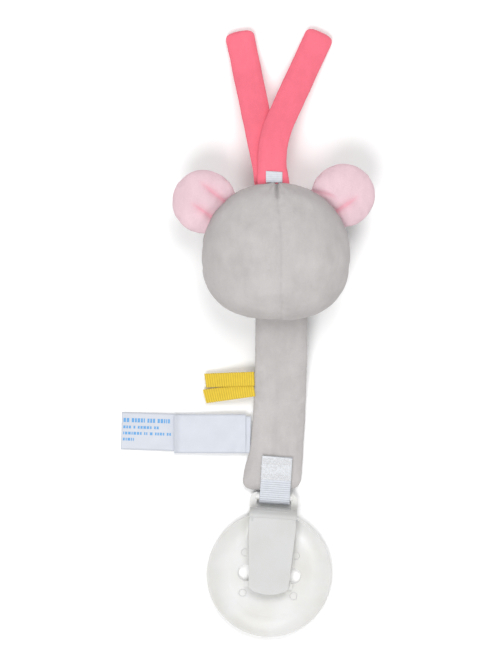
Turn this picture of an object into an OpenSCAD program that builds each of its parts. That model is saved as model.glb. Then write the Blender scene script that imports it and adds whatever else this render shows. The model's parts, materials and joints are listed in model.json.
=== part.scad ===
// Soft mouse with a garment clip: it holds a baby's soother on clothing.
// The toy lies face down on a table. +Y points from the clip to the head straps, +X to the
// right, +Z up, away from the table at z = 0. The origin is under the middle of the outline.
// Millimetres throughout.

/* [Head] */
// Centre of the head, right of the origin
head_x = 9.6; // [6:0.1:13]
// Centre of the head, up from the origin
head_y = 29.3; // [26:0.1:33]
// Half the width of the head
head_half_w = 26.6; // [24:0.1:29]
// Height of the head above its centre
head_top = 24.8; // [22:0.1:27]
// Height of the head below its centre
head_bottom = 24.5; // [22:0.1:27]
// Half the depth of the head, face to back
head_half_d = 19; // [16:0.1:22]
// Thickness of the velour
velour = 1.0; // [0.7:0.05:1.3]

/* [Face] */
// Distance of each eye from the middle of the face, degrees round the head
eye_turn = 24; // [18:1:30]
// Height of the eyes above the middle, degrees
eye_rise = 9; // [4:1:16]
// Half the width of an eye, degrees
eye_half_w = 5; // [3:0.5:7]
// Half the height of an eye, degrees
eye_half_h = 7; // [4:0.5:9]
// How far the eye embroidery stands out
eye_proud = 0.6; // [0.4:0.1:1]
// Drop of the nose below the middle, degrees
nose_drop = 8; // [5:1:14]
// Half the width of the nose, degrees
nose_half_w = 9; // [6:0.5:12]
// Half the height of the nose, degrees
nose_half_h = 7; // [5:0.5:10]
// How far the nose stands out
nose_proud = 1.6; // [1:0.1:2.5]

/* [Ears] */
// Radius of an ear
ear_r = 11.6; // [10:0.1:13]
// Distance from the middle of the head to the middle of an ear
ear_reach = 31.2; // [30:0.1:33]
// Direction of the left ear, anticlockwise from +X
ear_left_dir = 145.4; // [135:0.1:155]
// Direction of the right ear, anticlockwise from +X
ear_right_dir = 39.9; // [30:0.1:50]
// Half the thickness of an ear
ear_half_t = 3.3; // [2.5:0.1:4]

/* [Head straps] */
// Width of a head strap
strap_w = 10.7; // [9:0.1:12]
// Thickness of a head strap
strap_t = 3.0; // [2.4:0.1:3.2]
// Length of the strap that lies on top, seen from above
near_len = 57.6; // [50:0.1:60]
// Lean of the outer part of the strap that lies on top, to the right
near_lean = 24.6; // [20:0.1:30]
// Length of the strap that lies below, seen from above
far_len = 55.4; // [50:0.1:60]
// Lean of the strap that lies below, to the left
far_lean = 11.6; // [8:0.1:15]
// Side of a hook or loop patch
patch_size = 8.4; // [6:0.1:9]
// Thickness of a hook or loop patch
patch_t = 0.8; // [0.6:0.1:1]
// Width of the white tab over the strap roots
tab_w = 5.9; // [5:0.1:8]
// Length of the white tab
tab_len = 3.0; // [2:0.1:6]

/* [Body] */
// Centre of the body at the neck, right of the origin
body_top_x = 11.5; // [10:0.1:13]
// Centre of the body at the lower end, right of the origin
body_low_x = 8.2; // [7:0.1:10]
// Top end of the body's pad, up from the origin
body_top_y = 5.0; // [4:0.1:5.2]
// Lower end of the body, from the origin
body_low_y = -56.3; // [-56.4:0.1:-55]
// Width of the body at the neck
body_top_w = 19.3; // [17:0.1:21]
// Width of the body near its lower end
body_low_w = 21.4; // [19:0.1:23]
// Half the thickness of the body at the neck
body_half_t = 3.0; // [2.5:0.1:3.2]
// Half the thickness of the body at its lower end
body_low_half_t = 2.4; // [2:0.1:2.5]
// Height of the middle of the neck above the table
neck_z = 14; // [12:0.1:16]
// Length over which the body comes down to the table
body_fall = 36; // [30:1:44]

/* [Ribbons and label] */
// Width of a ribbon
ribbon_w = 5.0; // [4:0.1:5.2]
// Length of a ribbon
ribbon_len = 16.9; // [14:0.1:20]
// Thickness of a ribbon
ribbon_t = 0.5; // [0.4:0.05:0.7]
// Height of the label, along the side seam
label_h = 14.0; // [12:0.1:15]
// Length of the short blank leaf
label_short = 24.7; // [22:0.1:32]
// Length of the long leaf
label_long = 45.1; // [40:0.1:48]
// Thickness of a label leaf
label_t = 0.3; // [0.2:0.05:0.4]

/* [Webbing] */
// Width of the webbing
web_w = 10.9; // [10:0.1:11.2]
// Thickness of the webbing
web_t = 0.8; // [0.6:0.05:0.8]
// Upper end of the sewn part of the webbing
web_top_y = -44.4; // [-46:0.1:-42]

/* [Clip] */
// Centre of the disc, right of the origin
disc_x = 7.2; // [5:0.1:9]
// Centre of the disc, from the origin
disc_y = -86.9; // [-88:0.1:-86.8]
// Radius of the disc
disc_r = 22.5; // [22:0.1:23]
// Turn of the clip in the plane of the table, clockwise
clip_turn = 3.65; // [0:0.05:5]
// Radius of the flat middle of the disc's front
disc_flat_r = 15; // [13:0.5:17]
// Thickness of the disc
disc_t = 2.0; // [1.6:0.1:2.4]
// Height of the disc's rim above its flat front
rim_rise = 2.6; // [2:0.1:3]
// Radius of a ventilation hole
vent_r = 2.9; // [2.5:0.1:3]
// Distance of a ventilation hole from the middle of the disc
vent_off = 8.5; // [8:0.1:9.5]
// Width of the frame
frame_w = 17.2; // [16.6:0.1:18]
// Distance from the middle of the disc to the top of the frame
frame_top = 29.4; // [29:0.1:30]
// Thickness of the frame
frame_t = 2.0; // [1.6:0.1:2.2]
// Width of the slot for the webbing
slot_w = 12.4; // [12.2:0.1:13.2]
// Radius of the bar that the webbing turns round
bar_r = 1.5; // [1.3:0.05:1.5]
// Width of the lever at its hinge
lever_w = 16.9; // [16.4:0.1:17.2]
// Width of the lever at its tip
lever_tip_w = 14.3; // [13:0.1:15]
// Distance from the middle of the disc down to the lever's tip
lever_tip = 7.3; // [6:0.1:9]
// Radius of the hinge pin
pin_r = 1.2; // [1:0.05:1.3]
// Radial play of the hinge pin
pin_play = 0.05; // [0.02:0.01:0.1]

/* [Hidden] */

grey = "#cbc7c6";
pale_pink = "#f2cdd6";
strong_pink = "#fe7f90";
cloth_white = "#e4e8f0";
plastic_white = "#eeeeec";

lat_steps = 20;      // bands from the chin to the crown
lon_step = 10;       // degrees between the head's points, round the head
arc_steps = 8;       // points across each side of a padded strip
crown_power = 2;     // roundness of the head above its middle
chin_power = 2.6;    // roundness of the head below its middle, a little squarer
thin = 0.12;         // least half-thickness of a wadding
step_in = 0.02;      // run of the step where a wadding starts
sewn_gap = 0.35;     // room between a piece that folds and what it is sewn to
table_gap = 0.1;     // room between the table and what droops to it
fine = 64;           // facets of round moulded parts

// ---- Helpers for the soft pieces ----

// 0 at t = 0, 1 at t = 1, level at both ends
function ease(t) = let (u = min(max(t, 0), 1)) u * u * (3 - 2 * u);

// Rounding of an end: 0 at the end itself, 1 from r onwards
function round_end(u, r, power = 2) =
    u >= r ? 1 : pow(1 - pow(1 - max(u, 0) / r, power), 1 / power);

// Joins rings of equal point counts into one closed solid. Its flat ends fan out from the
// ring's point number apex.
module skin(rings, apex = 0, flip = false) {
    n = len(rings[0]);
    last = len(rings) - 1;
    points = [for (ring = rings) each ring];
    sides = [for (i = [0 : last - 1], j = [0 : n - 1])
        let (a = i * n + j, b = i * n + (j + 1) % n)
        each [[a, b, b + n], [a, b + n, a + n]]];
    first_end = [for (j = [n : -1 : 1]) (apex + j) % n];
    last_end = [for (j = [0 : n - 1]) last * n + (apex + j) % n];
    faces = concat(sides, [first_end, last_end]);
    polyhedron(points, flip ? faces : [for (f = faces) [for (k = [len(f) - 1 : -1 : 0]) f[k]]]);
}

// A padded strip is a list of stations [x, y, z, heading, half width, half thickness, filled].
// The heading turns clockwise from +Y, and filled says if there is wadding at that station.
function across(st, u, v) =
    [st[0] + u * cos(st[3]), st[1] - u * sin(st[3]), st[2] + v];

// Points over (side 1) or under (side -1) a station, from angle a0 to a1
function cover(st, side, a0, a1) = [for (k = [0 : arc_steps])
    let (a = a0 + (a1 - a0) * k / arc_steps)
    across(st, st[4] * cos(a), side * st[5] * pow(abs(sin(a)), 0.8))];

// Points of the hollow inside a station, in the same order of angles
function hollow(st, side, a0, a1) = [for (k = [0 : arc_steps])
    let (a = a0 + (a1 - a0) * k / arc_steps,
         w = max(st[4] - velour, st[4] * 0.4),
         h = st[6] ? max(st[5] - velour, thin) : 0)
    across(st, w * cos(a), side * h * pow(abs(sin(a)), 0.8))];

module strip_back(stations) {
    skin([for (st = stations) concat(cover(st, 1, 0, 180), hollow(st, 1, 180, 0))],
         apex = arc_steps / 2);
}

module strip_front(stations) {
    skin([for (st = stations) concat(hollow(st, -1, 0, 180), cover(st, -1, 180, 0))],
         apex = arc_steps * 3 / 2 + 1);
}

module strip_wadding(stations) {
    filled = [for (st = stations) if (st[6]) st];
    skin([for (st = filled)
        let (under = hollow(st, -1, 0, 180))
        concat(hollow(st, 1, 180, 0), [for (k = [1 : arc_steps - 1]) under[k]])], flip = true);
}

// Distances along a strip at which it has stations: close at the ends, even between
function marks(len, even, ends) = concat(
    ends,
    [velour, velour + step_in],
    [for (k = [1 : even - 1]) velour + (len - 2 * velour) * k / even],
    [len - velour - step_in, len - velour],
    [for (k = [len(ends) - 1 : -1 : 0]) len - ends[k]]);

function is_filled(s, len) = s > velour + step_in / 2 && s < len - velour - step_in / 2;

// A flat tape that bends only up and down: stations are [along, up], width runs across
module tape(path, width, thick) {
    linear_extrude(width, center = true)
        polygon(concat(
            [for (p = path) [p[0], p[1] - thick / 2]],
            [for (k = [len(path) - 1 : -1 : 0]) [path[k][0], path[k][1] + thick / 2]]));
}

// ---- Head ----

function head_power(t) = t >= 0 ? crown_power : chin_power;

// A point of the head's surface: lon goes round the height axis from +X over the back,
// lat goes from the chin at -90 to the crown at 90, out is the distance outside the surface
function head_point(lon, lat, out) =
    let (p = 2 / head_power(lat),
         rise = pow(abs(sin(lat)), p) * (lat >= 0 ? head_top + out : -head_bottom - out),
         ring = pow(abs(cos(lat)), p))
    [(head_half_w + out) * ring * cos(lon), rise, (head_half_d + out) * ring * sin(lon)];

// A sewn panel of the head between two meridians
module head_panel(lon0, lon1) {
    m = round((lon1 - lon0) / lon_step);
    grid = [for (out = [0, -velour], i = [1 : lat_steps - 1], j = [0 : m])
        head_point(lon0 + j * lon_step, -90 + 180 * i / lat_steps, out)];
    poles = [for (out = [0, -velour], lat = [-90, 90]) head_point(0, lat, out)];
    count = (lat_steps - 1) * (m + 1);
    outer_chin = 2 * count;
    outer_crown = outer_chin + 1;
    inner_chin = outer_chin + 2;
    inner_crown = outer_chin + 3;
    top = (lat_steps - 2) * (m + 1);
    outer = [for (i = [0 : lat_steps - 3], j = [0 : m - 1])
        let (a = i * (m + 1) + j, b = a + m + 1)
        each [[a, a + 1, b + 1], [a, b + 1, b]]];
    inner = [for (f = outer) [f[2] + count, f[1] + count, f[0] + count]];
    chin = [for (j = [0 : m - 1])
        each [[outer_chin, j + 1, j], [inner_chin, count + j, count + j + 1]]];
    crown = [for (j = [0 : m - 1])
        each [[outer_crown, top + j, top + j + 1],
              [inner_crown, count + top + j + 1, count + top + j]]];
    walls = [for (i = [0 : lat_steps - 3], j = [0, m])
        let (a = i * (m + 1) + j, b = a + m + 1,
             f = [[a, b, b + count], [a, b + count, a + count]])
        each j == 0 ? f : [for (q = f) [q[2], q[1], q[0]]]];
    corners = [for (j = [0, m])
        let (f = [[outer_chin, j, count + j], [outer_chin, count + j, inner_chin],
                  [top + j, outer_crown, inner_crown],
                  [top + j, inner_crown, count + top + j]])
        each j == 0 ? f : [for (q = f) [q[2], q[1], q[0]]]];
    translate([head_x, head_y, head_z])
        polyhedron(concat(grid, poles), concat(outer, inner, chin, crown, walls, corners));
}

// A patch of embroidery or padding on the face: a dome with an oval outline
dome_rings = 4;
dome_points = 16;
function dome(lon, lat, half_lon, half_lat, proud) = concat(
    [for (q = [1 : dome_rings]) [for (k = [0 : dome_points - 1])
        let (a = 360 * k / dome_points, s = q / dome_rings)
        head_point(lon + half_lon * s * cos(a), lat + half_lat * s * sin(a), 0.02)]],
    [for (q = [dome_rings : -1 : 1]) [for (k = [0 : dome_points - 1])
        let (a = 360 * k / dome_points, s = q / dome_rings)
        head_point(lon + half_lon * s * cos(a), lat + half_lat * s * sin(a),
                   0.25 + (proud - 0.25) * sqrt(1 - s * s))]]);

face_lon = 270;
nose_rings = dome(face_lon, -nose_drop, nose_half_w, nose_half_h, nose_proud);
head_z = -min([for (ring = nose_rings, p = ring) p[2]]);

module face_patch(rings) {
    translate([head_x, head_y, head_z]) skin(rings);
}

module head_back_left() { color(grey) head_panel(90, 180); }

module head_back_right() { color(grey) head_panel(0, 90); }

module head_front() { color(grey) head_panel(180, 360); }

module head_filling() {
    m = 360 / lon_step;
    grid = [for (i = [1 : lat_steps - 1], j = [0 : m - 1])
        head_point(j * lon_step, -90 + 180 * i / lat_steps, -velour)];
    chin = len(grid);
    top = (lat_steps - 2) * m;
    faces = concat(
        [for (i = [0 : lat_steps - 3], j = [0 : m - 1])
            let (a = i * m + j, b = i * m + (j + 1) % m)
            each [[a, b, b + m], [a, b + m, a + m]]],
        [for (j = [0 : m - 1]) [chin, (j + 1) % m, j]],
        [for (j = [0 : m - 1]) [chin + 1, top + j, top + (j + 1) % m]]);
    color("white") translate([head_x, head_y, head_z])
        polyhedron(concat(grid, [head_point(0, -90, -velour), head_point(0, 90, -velour)]), faces);
}

module eye_left() {
    color("#4a4a50") face_patch(dome(face_lon - eye_turn, eye_rise, eye_half_w, eye_half_h, eye_proud));
}

module eye_right() {
    color("#4a4a50") face_patch(dome(face_lon + eye_turn, eye_rise, eye_half_w, eye_half_h, eye_proud));
}

module nose() { color(strong_pink) face_patch(nose_rings); }

// ---- Ears: round pads that are gathered thin where they are sewn to the head ----

ear_root_half_t = 0.45;
ear_root_slope = 0.85;

// Radius of the head's outline in a direction above its middle
function head_outline(dir) =
    1 / sqrt(pow(cos(dir) / head_half_w, 2) + pow(sin(dir) / head_top, 2));

function ear_stations(dir) =
    let (root = head_outline(dir) + sewn_gap,
         length = ear_reach + ear_r - root,
         heading = 90 - dir)
    [for (s = marks(length, 9, [0.25]))
        let (d = root + s, from_mid = min(abs(d - ear_reach) / ear_r, 0.99),
             half_t = ear_half_t * round_end(length - s, 0.75 * ear_r, 2.4))
        [head_x + d * cos(dir), head_y + d * sin(dir), head_z, heading,
         ear_r * sqrt(1 - from_mid * from_mid),
         min(ear_root_half_t + ear_root_slope * s, half_t), is_filled(s, length)]];

module ear_left_back() { color(pale_pink) strip_back(ear_stations(ear_left_dir)); }

module ear_left_front() { color(grey) strip_front(ear_stations(ear_left_dir)); }

module ear_left_wadding() { color("white") strip_wadding(ear_stations(ear_left_dir)); }

module ear_right_back() { color(pale_pink) strip_back(ear_stations(ear_right_dir)); }

module ear_right_front() { color(grey) strip_front(ear_stations(ear_right_dir)); }

module ear_right_wadding() { color("white") strip_wadding(ear_stations(ear_right_dir)); }

// ---- Head straps: two padded tapes, one over the other, sewn in at the crown ----

strap_root_y = head_y + head_top + sewn_gap;
strap_tip_z = strap_t / 2 + patch_t + table_gap;
strap_lift = strap_t / 2 + 0.15;      // each strap lies this far above or below the seam
near_root = [8.6, strap_root_y, head_z + strap_lift];
far_root = [7.4, strap_root_y, head_z - strap_lift];
near_start = -5;                      // heading of the upper strap where it is sewn in
near_bend_len = 26;                   // length over which it turns to its full lean
near_bend_r = near_bend_len / ((near_lean - near_start) * PI / 180);

// Place and heading of the upper strap at a distance s from its root, seen from above
function near_heading(s) =
    near_start + (near_lean - near_start) * min(s / near_bend_len, 1);
function near_x(s) =
    let (h = near_heading(s))
    near_bend_r * (cos(near_start) - cos(h)) + max(s - near_bend_len, 0) * sin(near_lean);
function near_y(s) =
    let (h = near_heading(s))
    near_bend_r * (sin(h) - sin(near_start)) + max(s - near_bend_len, 0) * cos(near_lean);

function strap_half_w(s, length) = strap_w / 2 *
    (0.55 + 0.45 * round_end(length - s, 2.6));
function strap_half_t(s, length) = strap_t / 2 *
    round_end(length - s + 0.2, 1.8) * round_end(s + 0.1, strap_t / 2);

near_stations = [for (s = marks(near_len, 14, [0, 0.35]))
    [near_root[0] + near_x(s), near_root[1] + near_y(s),
     near_root[2] + (strap_tip_z - near_root[2]) * ease(s / near_len), near_heading(s),
     strap_half_w(s, near_len), strap_half_t(s, near_len), is_filled(s, near_len)]];

far_stations = [for (s = marks(far_len, 12, [0, 0.35]))
    [far_root[0] - s * sin(far_lean), far_root[1] + s * cos(far_lean),
     far_root[2] + (strap_tip_z - far_root[2]) * ease(s / (far_len - 3)), -far_lean,
     strap_half_w(s, far_len), strap_half_t(s, far_len), is_filled(s, far_len)]];

module strap_near_back() { color(strong_pink) strip_back(near_stations); }

module strap_near_front() { color(strong_pink) strip_front(near_stations); }

module strap_near_wadding() { color("white") strip_wadding(near_stations); }

module strap_far_back() { color(strong_pink) strip_back(far_stations); }

module strap_far_front() { color(strong_pink) strip_front(far_stations); }

module strap_far_wadding() { color("white") strip_wadding(far_stations); }

// A square of fastening tape under the tip of a strap
module fastening_patch(root, dx, dy, heading) {
    translate([root[0] + dx, root[1] + dy, table_gap])
        rotate([0, 0, -heading])
            translate([-patch_size / 2, -patch_size / 2, 0])
                cube([patch_size, patch_size, patch_t - 0.05]);
}

patch_back = patch_size / 2 + 1.6;    // middle of a patch, back from the strap's tip

module hook_patch() {
    s = near_len - patch_back;
    color("#e9e9e9") fastening_patch(near_root, near_x(s), near_y(s), near_lean);
}

module loop_patch() {
    s = far_len - patch_back;
    color("#dddddd")
        fastening_patch(far_root, -s * sin(far_lean), s * cos(far_lean), -far_lean);
}

// The white tab lies along the top of the upper strap, over the seam
module strap_anchor_tab() {
    tab_t = 0.5;
    tab_gap = 0.15;
    root = 1.1;              // clear of the head when the strap folds over it
    path = [for (k = [0 : 4])
        let (s = root + tab_len * k / 4)
        [near_y(s), strap_half_t(s, near_len) + tab_t / 2 + tab_gap +
            (strap_tip_z - near_root[2]) * ease(s / near_len)]];
    color("white") translate(near_root) translate([0.3, 0, 0])
        rotate([90, 0, 90]) tape(path, tab_w, tab_t);
}

// ---- Body: a padded strap from the neck down to the webbing ----

body_len = body_top_y - body_low_y;
body_rest_z = body_low_half_t + table_gap;

function body_z(s) = neck_z + (body_rest_z - neck_z) * ease(s / body_fall);
function body_x(s) = body_top_x + (body_low_x - body_top_x) * pow(max(s, 0) / body_len, 2.5);
function body_half_w(s) = (body_top_w + (body_low_w - body_top_w) * pow(s / body_len, 4)) / 2 *
    (0.7 + 0.3 * round_end(body_len - s, 3.6)) * (0.95 + 0.05 * round_end(s, 3));
function body_half_thick(s) =
    (body_half_t + (body_low_half_t - body_half_t) * ease(s / (body_len - 12))) *
    round_end(body_len - s + 0.3, 3) * round_end(s + 0.1, body_half_t);

body_stations = [for (s = marks(body_len, 15, [0, 0.4]))
    [body_x(s), body_top_y - s, body_z(s), 180,
     body_half_w(s), body_half_thick(s), is_filled(s, body_len)]];

module body_back_panel() { color(grey) strip_back(body_stations); }

module body_front_panel() { color(grey) strip_front(body_stations); }

module body_wadding() { color("white") strip_wadding(body_stations); }

// ---- Ribbons and label in the left side seam ----

// Distance down the body, and the body's left edge, at a place along Y
function seam_s(y) = body_top_y - y;
function seam_x(y) = body_x(seam_s(y)) - body_half_w(seam_s(y));

// Where a flap of height h that is sewn in at y starts, clear of the slanting edge
function flap_x(y, h) = min(seam_x(y - h / 2), seam_x(y + h / 2)) - sewn_gap;

ribbon_fall = 3.2;                    // drop of a ribbon's free end
ribbon_root_y = [-16.4, -20.4];       // upper and lower ribbon, middle of the root
ribbon_dip = [2.2, 8.1];              // turn of each ribbon, free end towards the clip
ribbon_z = body_z(seam_s(-18.6));
ribbon_gap = 0.08;                    // half the gap between the two ribbons
ribbon_x = flap_x(ribbon_root_y[1], ribbon_w) - ribbon_w / 2 * sin(ribbon_dip[1]);
flap_steps = 8;

// A flap that leaves the seam towards -X and droops by fall over its length
module flap(root, length, width, thick, fall, dip) {
    path = [for (k = [0 : flap_steps])
        let (t = k / flap_steps) [-length * t, -fall * ease(t)]];
    translate(root) rotate([0, 0, dip]) rotate([90, 0, 0]) tape(path, width, thick);
}

module ribbon_upper() {
    color("#ebcc4f")
        flap([ribbon_x, ribbon_root_y[0], ribbon_z + ribbon_t / 2 + ribbon_gap],
             ribbon_len, ribbon_w, ribbon_t, ribbon_fall, ribbon_dip[0]);
}

module ribbon_lower() {
    color("#ebcc4f")
        flap([ribbon_x, ribbon_root_y[1], ribbon_z - ribbon_t / 2 - ribbon_gap],
             ribbon_len, ribbon_w, ribbon_t, ribbon_fall, ribbon_dip[1]);
}

label_y = -36.2;                      // middle of the label, along Y
label_root = [flap_x(label_y, label_h) - 0.3, label_y];
label_z = body_z(seam_s(label_y));
leaf_gap = 0.3;                       // between the two leaves, so that one can turn

module label_short_leaf() {
    color(cloth_white)
        flap([label_root[0], label_root[1], label_z + label_t / 2 + leaf_gap],
             label_short, label_h, label_t, label_z - leaf_gap - 1, 0);
}

module label_long_leaf() {
    color(cloth_white)
        flap([label_root[0], label_root[1], label_z - label_t / 2],
             label_long, label_h - 0.6, label_t, label_z - label_t - table_gap, -1.8);
}

// ---- Clip: placed by clip_place, drawn with the disc's middle at the origin ----

bar_y = frame_top - bar_r;            // the bar's axis, from the middle of the disc
bar_z = disc_t / 2 + frame_t - 0.2;
slot_low = bar_y - 6.9;               // lower end of the slot
plate_low = -5;                       // lower end of the jaw plate
plate_top_z = bar_z + frame_t / 2;
corner_r = 2.5;                       // rounding of the frame's outer corners
knuckle_r = 3.7;                      // outer radius of the lever round its hinge
jaw_gap = 0.3;                        // between closed teeth and the plate
hinge_z = plate_top_z + knuckle_r + jaw_gap;
shell_end = 15;                       // the lever's shell ends this far above level
hinge_y = 23.8 - knuckle_r * cos(shell_end);
shell_in_r = 2.4;                     // inner radius of the lever's shell
cheek_r = 2.0;                        // round top of a cheek
cheek_out = 7.05;                     // outer face of a cheek, from the middle
cheek_t = 1.45;
side_play = 0.1;                      // beside each cheek
flange_t = lever_w / 2 - cheek_out - side_play;
cam_r = 2.7;
tooth_h = knuckle_r - cam_r;

module clip_place() {
    translate([disc_x, disc_y, 0]) rotate([0, 0, -clip_turn]) children();
}

// Extrudes a side view, drawn as [y, z], across the clip from x0 to x1
module across_clip(x0, x1) {
    translate([x0, 0, 0]) rotate([90, 0, 90]) linear_extrude(x1 - x0) children();
}

// Half section of the disc: flat in the middle, curled up towards the rim
module disc_section() {
    curl_steps = 8;
    run = disc_r - disc_flat_r;
    front = [for (k = [0 : curl_steps])
        let (t = k / curl_steps) [disc_flat_r + run * t, rim_rise * t * t]];
    back = [for (k = [curl_steps : -1 : 0])
        let (t = k / curl_steps)
        [disc_flat_r + (run - 0.5) * t, disc_t + (rim_rise - 0.5) * t * t]];
    polygon(concat([[0, 0]], front, [[disc_r, rim_rise + disc_t - 1]], back, [[0, disc_t]]));
}

// Plan of the frame: a plate with rounded top corners
module frame_plan() {
    half = frame_w / 2;
    translate([-half, plate_low]) square([frame_w, frame_top - corner_r - plate_low]);
    translate([corner_r - half, frame_top - corner_r - 1])
        square([frame_w - 2 * corner_r, corner_r + 1]);
    for (side = [-1, 1])
        translate([side * (half - corner_r), frame_top - corner_r]) circle(corner_r, $fn = 48);
}

// Side view of a cheek: a round eye on a gusset that leans towards the disc
module cheek_side() {
    translate([hinge_y, hinge_z]) circle(cheek_r, $fn = fine);
    polygon([[hinge_y - cheek_r, hinge_z], [hinge_y - 6.5, plate_top_z - 0.2],
             [hinge_y, plate_top_z - 0.2], [hinge_y, hinge_z]]);
}

module clip_body() {
    color(plastic_white) clip_place() difference() {
        union() {
            rotate_extrude($fn = 96) disc_section();
            translate([0, 0, bar_z - frame_t / 2]) linear_extrude(frame_t) difference() {
                frame_plan();
                translate([-slot_w / 2, slot_low]) square([slot_w, frame_top - slot_low + 1]);
            }
            translate([0, bar_y, bar_z]) rotate([0, 90, 0])
                cylinder(h = slot_w + 1, r = bar_r - 0.01, center = true, $fn = fine);
            for (side = [-1, 1])
                across_clip(side > 0 ? cheek_out - cheek_t : -cheek_out,
                            side > 0 ? cheek_out : cheek_t - cheek_out) cheek_side();
        }
        for (side = [-1, 1])
            translate([side * vent_off, 0, -1])
                cylinder(h = rim_rise + disc_t + 6, r = vent_r, $fn = fine);
        translate([0, hinge_y, hinge_z]) rotate([0, 90, 0])
            cylinder(h = frame_w + 2, r = pin_r + pin_play, center = true, $fn = fine);
        translate([-slot_w / 2, slot_low, -1])
            cube([slot_w, bar_y - slot_low - bar_r - 0.4, bar_z + frame_t]);
    }
}

// Plan of the lever: tapered, with a rounded tip; edge insets it all round
module lever_plan(edge) {
    top = hinge_y + knuckle_r + 1;
    half = lever_w / 2 - edge;
    tip = lever_tip_w / 2 - edge;
    bulge = 2.7;
    shoulder = -lever_tip + bulge;
    tip_steps = 12;
    polygon(concat(
        [[-half, top], [-half, hinge_y - knuckle_r]],
        [for (k = [0 : tip_steps])
            let (a = 180 + 180 * k / tip_steps)
            [tip * cos(a), shoulder + (bulge - edge) * sin(a) * (1 - 0.12 * abs(cos(a)))]],
        [[half, hinge_y - knuckle_r], [half, top]]));
}

tip_top_z = 6.4;                      // height of the lever's top at its tip
skin_t = 1.4;                         // thickness of the lever's top

// Side view of the lever's outside: round at the hinge, falling to the tip; drop lowers it
module lever_side(drop, low) {
    y_tip = -lever_tip - 1;
    polygon([[hinge_y, hinge_z + knuckle_r - drop], [y_tip, tip_top_z - drop],
             [y_tip, low], [hinge_y - knuckle_r - 4, low], [hinge_y, low + 3]]);
}

// Side view of the shell over the hinge: a ring from the top round to shell_end
module knuckle_side() {
    difference() {
        translate([hinge_y, hinge_z]) circle(knuckle_r, $fn = fine);
        translate([hinge_y, hinge_z]) circle(shell_in_r, $fn = fine);
        translate([hinge_y - knuckle_r - 1, hinge_z - knuckle_r - 1])
            square([knuckle_r + 1, 2 * knuckle_r + 2]);
        polygon([[hinge_y, hinge_z],
                 [hinge_y + 6 * cos(shell_end), hinge_z + 6 * sin(shell_end)],
                 [hinge_y + 6, hinge_z - 6], [hinge_y, hinge_z - 6]]);
    }
}

// The cam between the cheeks: a barrel with rows of teeth that face the plate
module cam_side() {
    teeth = 4;
    translate([hinge_y, hinge_z]) {
        circle(cam_r, $fn = fine);
        for (k = [0 : teeth - 1])
            rotate(-124 + 14 * k)
                polygon([[cam_r - 0.3, -0.38], [cam_r + tooth_h, 0], [cam_r - 0.3, 0.38]]);
        translate([-cam_r, 0]) square([2 * cam_r, shell_in_r + 0.3]);
    }
}

module clip_lever() {
    cam_half = cheek_out - cheek_t - side_play;
    flange_low = plate_top_z + 0.5;
    color(plastic_white) clip_place() union() {
        intersection() {
            linear_extrude(30) lever_plan(0);
            difference() {
                across_clip(-lever_w, lever_w) lever_side(0, flange_low);
                intersection() {
                    across_clip(-lever_w, lever_w) lever_side(skin_t, -5);
                    union() {
                        linear_extrude(30) lever_plan(flange_t);
                        for (side = [-1, 1])
                            translate([side > 0 ? cheek_out - cheek_t - side_play
                                                : -cheek_out - side_play, hinge_y - 9, 0])
                                cube([cheek_t + 2 * side_play, 9.1, 30]);
                    }
                }
            }
        }
        across_clip(-lever_w / 2, lever_w / 2) knuckle_side();
        for (side = [-1, 1])
            across_clip(side > 0 ? cheek_out + side_play : -lever_w / 2,
                        side > 0 ? lever_w / 2 : -cheek_out - side_play)
                translate([hinge_y, hinge_z]) circle(knuckle_r, $fn = fine);
        across_clip(-cam_half, cam_half) cam_side();
        translate([0, hinge_y, hinge_z]) rotate([0, 90, 0])
            cylinder(h = lever_w - 0.2, r = pin_r, center = true, $fn = fine);
    }
}

// ---- Webbing: a tape folded round the clip's bar and sewn to the body's back ----

loop_in_r = bar_r + 0.2;
loop_mid = [disc_x + bar_y * sin(clip_turn), disc_y + bar_y * cos(clip_turn), bar_z];
web_len = web_top_y - loop_mid[1];    // from the bar's axis to the webbing's upper end
web_shift = 0.2;                      // to the right of the clip's middle line
web_rows = [web_len - 2.4, web_len - 7.9];            // two rows of stitches, up from the bar
web_lift = 0.04;                      // clearance over the body's back

// The webbing lies in line with the clip, and is drawn with the bar's axis at the origin
module webbing_place() {
    translate([loop_mid[0], loop_mid[1], 0])
        rotate([0, 0, -clip_turn]) translate([web_shift, 0, 0]) children();
}

// Height of the body's back at a place along Y
function back_z(y) = body_z(seam_s(y)) + body_half_thick(seam_s(y));

web_steps = 8;
web_layers_t = 2 * web_t;
web_last_z = bar_z + loop_in_r;
web_path = [for (k = [0 : web_steps])
    let (up = web_len * (1 - k / web_steps),
         y = loop_mid[1] + up,
         on_body = back_z(max(y, body_low_y + 3)) + web_lift)
    [up, (on_body + (web_last_z - on_body) * ease((body_low_y + 4 - y) / 6)) + web_layers_t / 2]];

module webbing_loop() {
    color(cloth_white) webbing_place() rotate([90, 0, 90]) {
        tape(web_path, web_w, web_layers_t);
        translate([0, bar_z]) linear_extrude(web_w, center = true) difference() {
            circle(loop_in_r + web_t, $fn = fine);
            circle(loop_in_r, $fn = fine);
        }
    }
}

module webbing_stitching() {
    stitches = 8;
    pitch = web_w / (stitches + 0.5);
    thread_r = 0.16;
    stitch_len = 0.8;
    color("white") webbing_place() for (up = web_rows, k = [0 : stitches - 1])
        let (z = lookup(-up, [for (p = web_path) [-p[0], p[1]]]) + web_layers_t / 2 + thread_r + 0.02)
        translate([(k - (stitches - 1) / 2) * pitch - stitch_len / 2, up, z])
            rotate([0, 90, 0]) cylinder(h = stitch_len, r = thread_r, $fn = 16);
}

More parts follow.
